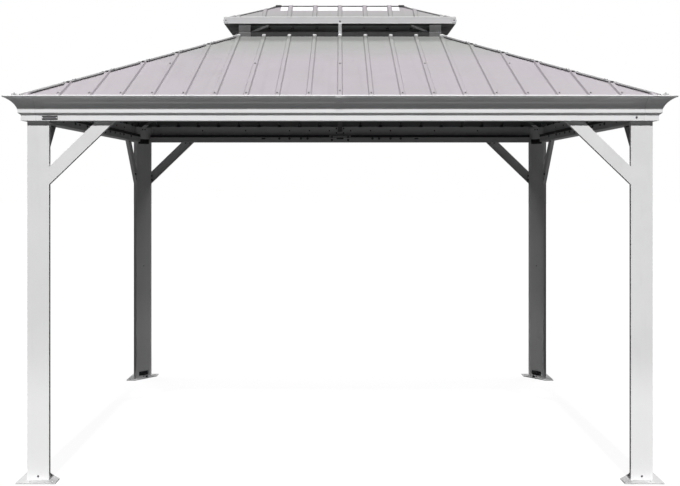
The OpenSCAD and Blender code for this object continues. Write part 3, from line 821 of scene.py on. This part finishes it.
def add_hip_fixings():
    """Where a seam ends at a hip cover: a black closure on the seam, whose black also paints the shade
    of the seam's open end, and a screw beside it.
    """
    shortest_seam = 0.1
    screw_aside, screw_past_hip = SEAM_BASE * 0.85, 16 * MM
    closure_back = HIP_COVER_HALF * math.sqrt(2) + 4 * MM
    closure = soft_plate(20 * MM, 14 * MM, 4 * MM, 8 * MM, 1.5 * MM)
    screws, closures = [], []
    for side, (_, _, half_length) in SIDES.items():
        for i in seams_of(half_length):
            x = i * SEAM_PITCH
            hip_at = half_length - abs(x)
            if shortest_seam < hip_at < ROOF_RUN:
                beside = x - math.copysign(screw_aside, i)
                spot = on_slope(side, beside, hip_at + screw_past_hip, HIP_COVER_LIFT)
                screws.append(placed(FRAME_SCREW, spot))
                end = on_slope(side, x, hip_at - closure_back, SEAM_H - 1 * MM)
                closures.append(placed(closure, end))
    add_piece("hip_seam_closures", closures, BLACK, 40.0)
    add_piece("hip_cover_screws", screws, ROOF_SCREW_PAINT)


def add_corner_caps():
    """The rounded end cap and screw at the foot of each hip, over the gutter corner."""
    out, height = 56 * MM, 24 * MM
    cap = soft_plate(36 * MM, 30 * MM, 9 * MM, height, 6 * MM)
    for name in CORNERS:
        along = corner(name) @ turned("Z", 45.0)
        place = along @ at(-out * math.sqrt(2), 0.0, SHEET_Z - out * SLOPE - 1 * MM)
        add_piece("hip_end_cap_" + name, [placed(cap, place)], CAP_PAINT, 40.0)
        screw = placed(FRAME_SCREW, place @ at(0.0, 0.0, height))
        add_piece("hip_end_screw_" + name, [screw], DARK_SCREW)


# ---- posts, plates and braces ----

SLOT_PLAY = 0.3 * MM        # between a slot and what closes it
PLUG_SINK = 6 * MM          # depth of a plug's back behind the middle of the diagonal face


def slot_plug(share=1.0):
    """A black plug in that share of a post slot: a soft-edged body with two ribs."""
    width, height = (SLOT_W - SLOT_PLAY) * share, (SLOT_H - SLOT_PLAY) * share
    body = soft_plate(width, height, 2 * MM, 4 * MM, 0.8 * MM)
    rib = soft_plate(width * 0.86, 3 * MM, 1 * MM, 1.4 * MM, 0.5 * MM)
    ribs = [placed(rib, at(0.0, side * height / 5, 3.6 * MM)) for side in (-1, 1)]
    return placed(joined([body, *ribs]), at(0.0, 0.0, -PLUG_SINK))


def add_post_details():
    """Slot plugs and collars, and the screws of the diagonal faces, outer faces and plates."""
    low_slot = PLATE_T + SLOT_RISE + SLOT_H / 2
    high_slot = BEAM_Z - SLOT_DROP + SLOT_H / 2
    diagonal_screws = (PLATE_T + SLOT_RISE / 2, 1.03)
    foot_screw = 29 * MM
    anchor_x, anchor_y = 107 * MM, 79 * MM
    collar = soft_plate(SLOT_W - SLOT_PLAY, SLOT_H - SLOT_PLAY, 2 * MM, 3 * MM, 0.8 * MM)
    side_face = turned("Z", -90.0) @ OUT
    for name in CORNERS:
        spot = corner(name)
        low_place = spot @ at(POST_MID, POST_MID, low_slot) @ DIAGONAL
        plugs = [
            placed(slot_plug(), spot @ at(POST_MID, POST_MID, high_slot) @ DIAGONAL),
            placed(slot_plug(0.8), low_place @ at(0.0, 0.0, 1.5 * MM)),
        ]
        add_piece("slot_plugs_" + name, plugs, BLACK)
        collars = [placed(collar, low_place @ at(0.0, 0.0, -PLUG_SINK))]
        add_piece("slot_collar_" + name, collars, FRAME_PAINT)
        screws = [placed(SMALL_SCREW, spot @ at(POST_MID, POST_MID, z) @ DIAGONAL)
                  for z in diagonal_screws]
        screws.append(placed(FRAME_SCREW, spot @ at(POST_LEG / 2, 0.0, foot_screw) @ OUT))
        screws.append(placed(FRAME_SCREW, spot @ at(0.0, POST_LEG / 2, foot_screw) @ side_face))
        add_piece("post_screws_" + name, screws, DARK_SCREW)
        bolt = placed(ANCHOR, spot @ at(anchor_x, anchor_y, PLATE_T))
        add_piece("plate_bolt_" + name, [bolt], DARK_SCREW)


def add_brace_bolts():
    """Two bolts at each end of every brace, in its open channel."""
    channel_mid = 15.5 * MM
    swap = Matrix(((0, 1, 0, 0), (1, 0, 0, 0), (0, 0, 1, 0), (0, 0, 0, 1)))
    for name in CORNERS:
        bolts = []
        for reach, way in ((BRACE_LONG, Matrix.Identity(4)), (BRACE_SHORT, swap)):
            # the share of the reach, and of the drop, that a cut end of the brace takes up
            share = BRACE_FACE * math.hypot(reach, BRACE_DROP) / (reach * BRACE_DROP)
            for part in (0.32, 0.68):
                down = BRACE_DROP * (1 - share * part)
                along = reach * (1 - share * part)
                low = at(POST_LEG + BRACE_WALL, channel_mid, BEAM_Z - down) @ turned("Y", 90.0)
                high = at(POST_LEG + along, channel_mid, BEAM_Z - BRACE_WALL) @ turned("Y", 180.0)
                bolts += [placed(FRAME_BOLT, corner(name) @ way @ m) for m in (low, high)]
        add_piece("brace_bolts_" + name, bolts, DARK_SCREW)


def add_rafter_shoes():
    """A pale bent plate under the foot of each hip rafter, bolted to the post's diagonal face."""
    width, leg, drop, thick, gap = 44 * MM, 48 * MM, 38 * MM, 2.5 * MM, 0.2 * MM
    bolt_aside, bolt_drop = 12 * MM, 22 * MM
    rise = SLOPE / math.sqrt(2)
    face = math.sqrt(2) * POST_MID
    under = SHEET_Z - SHEET_T - RAFTER_H + face * rise
    outline = [
        (face, under - drop), (face + thick, under - drop),
        (face + thick, under - thick), (face + leg, under + leg * rise - thick),
        (face + leg, under + leg * rise - gap), (face, under - gap),
    ]
    stand = turned("Z", 45.0) @ turned("X", 90.0)
    for name in CORNERS:
        shoe = placed(prism(outline, -width / 2, width / 2), corner(name) @ stand)
        add_piece("rafter_shoe_" + name, [shoe], PALE_PAINT, 20.0)
        face_mid = corner(name) @ at(POST_MID, POST_MID, 0.0) @ DIAGONAL
        bolts = [placed(FRAME_SCREW, face_mid @ at(side * bolt_aside, under - bolt_drop, thick))
                 for side in (-1, 1)]
        add_piece("rafter_shoe_screws_" + name, bolts, DARK_SCREW)


# ---- beams and gutter ----

def on_beam(side, along, lift=0.0, rise=0.0):
    """On the inner face of a beam, from its middle, with local Z out of the face."""
    face = BEAM_W - SIDES[side][1]
    return facing(side) @ at(along, face + lift, BEAM_Z + BEAM_H / 2 + rise) @ IN


def on_gutter_wall(side, along, z):
    """On the inner face of the gutter's wall, over a beam, with local Z out of the face."""
    return facing(side) @ at(along, -SIDES[side][1], z) @ IN


def add_beam_details():
    """What the inner faces of the beams and of the gutter's wall hold, side by side."""
    for side in SIDES:
        add_beam_splice(side)
        add_beam_slots(side)
        add_shade_net_track(side)
        add_wall_screws(side)
        add_seam_closures(side)


def add_beam_splice(side):
    """The splice plate with its four bolts, and the bolts along the beam."""
    thick = 2.5 * MM
    spots = LONG_BOLTS if side in LONG_SIDES else SHORT_BOLTS
    bolts = [placed(FRAME_BOLT, on_beam(side, x)) for x in spots]
    plate = soft_plate(200 * MM, BEAM_H * 0.82, 3 * MM, thick, 0.8 * MM)
    add_piece("beam_splice_" + side, [placed(plate, on_beam(side, 0.0))], BEAM_SHADE_PAINT)
    bolts += [placed(FRAME_BOLT, on_beam(side, x, thick, z))
              for x in mirrored(75 * MM) for z in mirrored(14 * MM)]
    add_piece("beam_bolts_" + side, bolts, DARK_SCREW)


def add_beam_slots(side):
    """A dark inset on the splice plate, and a plug in each hanging slot of the beam."""
    inset = soft_plate(64 * MM, 12 * MM, 5.5 * MM, 0.8 * MM, 0.3 * MM)
    shapes = [placed(inset, on_beam(side, 0.0, 2.4 * MM))]
    play = 0.4 * MM
    plug = soft_plate(HANG_L - play, HANG_H - play, HANG_H / 2 - 0.3 * MM, 2 * MM, 0.4 * MM)
    hang = HANG_X if side in LONG_SIDES else HANG_Y
    shapes += [placed(plug, on_beam(side, x, -2.5 * MM)) for x in mirrored(hang)]
    add_piece("beam_slot_plugs_" + side, shapes, BLACK)


def add_wall_screws(side):
    """A row of screws on the gutter's wall, and four round the joint at its middle."""
    row, low_pair, high_pair = RIM_Z - 35 * MM, RIM_Z - 57 * MM, RIM_Z - 15 * MM
    row_end = SIDES[side][2] - POST_LEG - 20 * MM
    places = WALL_SCREWS if side in LONG_SIDES else SHORT_BOLTS
    screws = [placed(FRAME_SCREW, on_gutter_wall(side, x, row)) for x in places if abs(x) < row_end]
    screws += [placed(FRAME_SCREW, on_gutter_wall(side, x, z))
               for x in mirrored(34 * MM) for z in (low_pair, high_pair)]
    add_piece("gutter_screws_" + side, screws, DARK_SCREW)


def add_seam_closures(side):
    """A black block under each seam, on top of the gutter's wall."""
    closure = soft_plate(30 * MM, 15 * MM, 3 * MM, 5 * MM, 1 * MM)
    closures = [placed(closure, on_gutter_wall(side, i * SEAM_PITCH, RIM_Z + 5 * MM))
                for i in seams_of(SIDES[side][2] - 60 * MM)]
    add_piece("seam_closures_" + side, closures, BLACK)


def add_shade_net_track(side):
    """A track with two lips along the top of a beam's inner face, black all over as painted shade in
    the gap over the beam.
    """
    _, reach, half_length = SIDES[side]
    face, top = BEAM_W - reach, BEAM_Z + BEAM_H
    half = half_length - POST_LEG - 4 * MM
    outline = [
        (0.0, -22 * MM), (4.5 * MM, -22 * MM), (5 * MM, -21 * MM), (5 * MM, -18 * MM),
        (2 * MM, -17 * MM), (1.5 * MM, -15 * MM), (1.5 * MM, -7 * MM), (2 * MM, -5 * MM),
        (5 * MM, -4 * MM), (5 * MM, -1.5 * MM), (4.5 * MM, -0.5 * MM), (0.0, -0.5 * MM),
    ]
    track = placed(prism(outline, -half, half), facing(side) @ crosswise(face, top))
    add_piece("shade_net_track_" + side, [track], BLACK, 25.0)


def add_gutter_details():
    """Splice covers at the middle of each side, and joint seals at the corners."""
    splice_from, splice_to, splice_t = -27 * MM, 18 * MM, 1.2 * MM
    seal_half, seal_t = 1.5 * MM, 0.2 * MM
    for side, (_, reach, half_length) in SIDES.items():
        turn = facing(side) @ at(0.0, SIDES["front"][1] - reach, 0.0)
        cover = placed(gutter_ribbon(splice_from, splice_to, splice_t), turn)
        add_piece("gutter_splice_" + side, [cover], GUTTER_PAINT_X, 25.0)
        joint = half_length + RIM_OUT - CORNER_ARM
        seals = [placed(gutter_ribbon(x - seal_half, x + seal_half, seal_t), turn)
                 for x in mirrored(joint)]
        add_piece("gutter_joint_seals_" + side, seals, SEAL, 25.0)


def add_fascia_details():
    """On the front fascia: the bare label plate at the left, and a screw at the right."""
    front = -HALF_W - FASCIA_OUT
    plate_t = 1.6 * MM
    spot = at(146 * MM - HALF_L, front, BEAM_Z + 16.5 * MM) @ OUT
    frame_plate = soft_plate(94 * MM, 25 * MM, 3 * MM, plate_t, 0.5 * MM)
    add_piece("label_plate_frame", [placed(frame_plate, spot)], LABEL_DARK)
    field = soft_plate(80 * MM, 13 * MM, 1.5 * MM, 0.5 * MM, 0.2 * MM)
    field_place = spot @ at(-3 * MM, 0.0, plate_t)
    add_piece("label_plate_field", [placed(field, field_place)], LABEL_GREY)
    rivets = [placed(RIVET, spot @ at(x, 0.0, plate_t)) for x in (-44 * MM, 41.5 * MM)]
    add_piece("label_plate_rivets", rivets, PALE_PAINT)
    screw = placed(FRAME_SCREW, at(HALF_L - 108 * MM, front, BEAM_Z + 20 * MM) @ OUT)
    add_piece("fascia_screw", [screw], DARK_SCREW)


# ---- roof opening and vent roof ----

def add_seam_caps():
    """Pale end caps on the seams that reach the roof opening."""
    cap = soft_plate(SEAM_BASE * 0.72, 24 * MM, 4 * MM, SEAM_H + 7 * MM, 3 * MM)
    back = 10 * MM
    for side, (_, _, half_length) in SIDES.items():
        limit = half_length - ROOF_RUN - SEAM_BASE / 2 + SEAM_PITCH / 3
        caps = [placed(cap, on_slope(side, i * SEAM_PITCH, ROOF_RUN - back, 0.0))
                for i in seams_of(half_length) if abs(i * SEAM_PITCH) < limit]
        add_piece("seam_end_caps_" + side, caps, LIP_PAINT, 40.0)


def add_opening_upstand():
    """An upstand round the opening, between the vent's supports, black as painted shade, with a hem
    along its top.
    """
    clearance = 1 * MM
    foot, top = OPEN_Z - 6 * MM, OPEN_Z + 36 * MM
    strips, hems = [], []
    for side in SIDES:
        if side in LONG_SIDES:
            line, stop = OPEN_Y, OPEN_X - BRACKET_W - clearance
            start = UPRIGHT_W / 2 + clearance
            runs = [(-stop, -start), (start, stop)]
        else:
            line, stop = OPEN_X, OPEN_Y - BRACKET_D - clearance
            runs = [(-stop, stop)]
        for left, right in runs:
            middle = facing(side) @ at((left + right) / 2, 0.1 * MM - line, (foot + top) / 2)
            sheet = soft_plate(right - left, top - foot, 1 * MM, 1.4 * MM, 0.4 * MM)
            strips.append(placed(sheet, middle @ IN))
            hem = soft_plate(right - left, 4.5 * MM, 1.5 * MM, 3 * MM, 1.2 * MM)
            lift = at(0.0, 2.6 * MM, (top - foot) / 2)
            hems.append(placed(hem, middle @ lift @ OUT))
    add_piece("opening_upstand", strips, BLACK, 20.0)
    add_piece("opening_upstand_hem", hems, RAFTER_PAINT, 40.0)


def add_vent_lips():
    """Rolled lips along the top and the bottom of the vent fascia."""
    hem, top, inner = 1.6 * MM, VENT_H, -VENT_WALL
    lips = [
        band(VENT_X, VENT_Y, [
            (0.0, top - 6 * MM), (hem, top - 5 * MM), (hem, top + hem), (0.6 * MM, top + 2 * hem),
            (inner, top + 2 * hem), (inner - hem, top + hem), (inner - hem, top - 4 * MM),
            (inner, top - 4 * MM), (inner, top), (0.0, top),
        ]),
        band(VENT_X, VENT_Y, [(0.0, 0.5 * MM), (hem, 1.2 * MM), (hem, 4 * MM), (0.0, 5 * MM)]),
    ]
    lifted = [placed(lip, at(0.0, 0.0, VENT_Z)) for lip in lips]
    add_piece("vent_fascia_lips", lifted, LIP_PAINT, 25.0)


def add_vent_blocks():
    """Corner blocks and middle tabs on the outside of the vent fascia, with their screws."""
    size, block_t, tab_t = 34 * MM, 3 * MM, 1.6 * MM
    block = soft_plate(size, VENT_H - 12 * MM, 8 * MM, block_t, 1.2 * MM)
    tab = soft_plate(32 * MM, 30 * MM, 5 * MM, tab_t, 0.6 * MM)
    blocks, screws = [], []
    for side in SIDES:
        half, line = (VENT_X, VENT_Y) if side in LONG_SIDES else (VENT_Y, VENT_X)
        for way in (-1, 1):
            x = way * (half - size / 2 + 1 * MM)
            spot = facing(side) @ at(x, -line, VENT_Z + VENT_H / 2) @ OUT
            blocks.append(placed(block, spot))
            screws.append(placed(SMALL_SCREW, spot @ at(way * 2 * MM, 0.0, block_t)))
        if side in LONG_SIDES:
            spot = facing(side) @ at(0.0, -line, VENT_Z + 17 * MM) @ OUT
            blocks.append(placed(tab, spot))
            screws.append(placed(FRAME_SCREW, spot @ at(0.0, -2 * MM, tab_t)))
    add_piece("vent_fascia_blocks", blocks, FASCIA_PAINT, 40.0)
    add_piece("vent_fascia_screws", screws, DARK_SCREW)


def add_vent_struts():
    """A slanting flat bar behind each bracket, from the bracket up to the vent flange."""
    thick, screw_inset = 3 * MM, 9 * MM
    start = Vector((OPEN_X - BRACKET_W + 14 * MM, VENT_Z - 62 * MM))
    stop = Vector((OPEN_X - BRACKET_W - 135 * MM, VENT_Z - 2 * MM))
    run = stop - start
    middle = (start + stop) / 2
    bar = soft_plate(run.length, 15 * MM, 5 * MM, thick, 0.8 * MM)
    struts, screws = [], []
    for sx in (-1, 1):
        tilt = turned("Y", -math.degrees(math.atan2(run.y, run.x * sx)))
        for side in LONG_SIDES:
            spot = facing(side) @ at(sx * middle.x, BRACKET_T - OPEN_Y, middle.y) @ tilt @ IN
            struts.append(placed(bar, spot))
            for x in mirrored(run.length / 2 - screw_inset):
                screws.append(placed(SMALL_SCREW, spot @ at(x, 0.0, thick)))
    add_piece("vent_struts", struts, PALE_PAINT)
    add_piece("vent_strut_screws", screws, DARK_SCREW)


def add_vent_ties():
    """A pale strap from the middle of each long fascia down to the middle seam's end."""
    thick, half = 3 * MM, 12 * MM
    outside = -VENT_Y - 1.6 * MM
    top, bend = Vector((outside, VENT_Z + 6 * MM)), Vector((outside, VENT_Z - 1 * MM))
    foot = Vector((-OPEN_Y - 14 * MM, OPEN_Z + SEAM_H + 4 * MM))
    outline = [
        (top.x, top.y), (top.x - thick, top.y), (bend.x - thick, bend.y - 1 * MM),
        (foot.x - thick, foot.y), (foot.x - 16 * MM, foot.y - 9 * MM),
        (foot.x - 14 * MM, foot.y - 11 * MM), (foot.x, foot.y - 4 * MM), (bend.x, bend.y),
    ]
    for side in LONG_SIDES:
        strap = placed(prism(outline, -half, half), facing(side) @ crosswise())
        add_piece("vent_tie_" + side, [strap], PALE_PAINT, 25.0)


VENT_SEAMS = seams_of(VENT_RIDGE_X + SEAM_PITCH / 2)       # those that meet the vent ridge


def add_ridge_highlight_flashing():
    """Pale flashing plates below the vent ridge, two between each pair of seams; their pale paint is a
    painted highlight along the ridge.
    """
    depth, gap = 76 * MM, 1 * MM
    full = (SEAM_PITCH - SEAM_BASE) / 4 - 0.6 * MM
    trimmed = full - 10 * MM
    inward = VENT_ROOF_Y - CAP_W - depth / 2 - gap
    strips = []
    for side in LONG_SIDES:
        for i in VENT_SEAMS:
            for way in (-1, 1):
                past_ridge = abs(i) * SEAM_PITCH + SEAM_BASE / 2 + 2 * full > VENT_RIDGE_X
                half = trimmed if past_ridge and way * i > 0 else full
                x = i * SEAM_PITCH + way * (SEAM_BASE / 2 + half + gap)
                plate = soft_plate(2 * half, depth, 2 * MM, 1.6 * MM, 0.5 * MM)
                strips.append(placed(plate, on_vent(side, x, inward, 0.0)))
    add_piece("ridge_highlight_flashing", strips, PALE_PAINT, 25.0)


def add_ridge_covers():
    """Saddles over the seams at the vent ridge, and a black cover over each end of the ridge."""
    foot = VENT_RIDGE_Z + CAP_T - 1 * MM
    base = foot - 15 * MM
    saddle = soft_plate(SEAM_BASE, 25 * MM, 3 * MM, cad_high.z - 0.2 * MM - foot, 1.5 * MM)
    saddles = [placed(saddle, at(i * SEAM_PITCH, 0.0, foot)) for i in VENT_SEAMS]
    add_piece("ridge_saddles", saddles, PALE_PAINT, 40.0)
    cover = soft_plate(46 * MM, 46 * MM, 8 * MM, cad_high.z - 0.4 * MM - base, 3 * MM)
    covers = [placed(cover, at(x, 0.0, base)) for x in mirrored(VENT_RIDGE_X + 8 * MM)]
    add_piece("ridge_end_covers", covers, BLACK, 40.0)


# ---- build ----

add_camera()
add_world()
add_floor()
add_lights()
bpy.context.scene.view_settings.view_transform = "Standard"

paint_nodes()
add_roof_screws()
add_hip_covers()
add_hip_fixings()
add_post_details()
add_brace_bolts()
add_rafter_shoes()
add_beam_details()
add_gutter_details()
add_fascia_details()
add_corner_caps()
add_seam_caps()
add_opening_upstand()
add_vent_lips()
add_vent_blocks()
add_vent_struts()
add_vent_ties()
add_ridge_highlight_flashing()
add_ridge_covers()
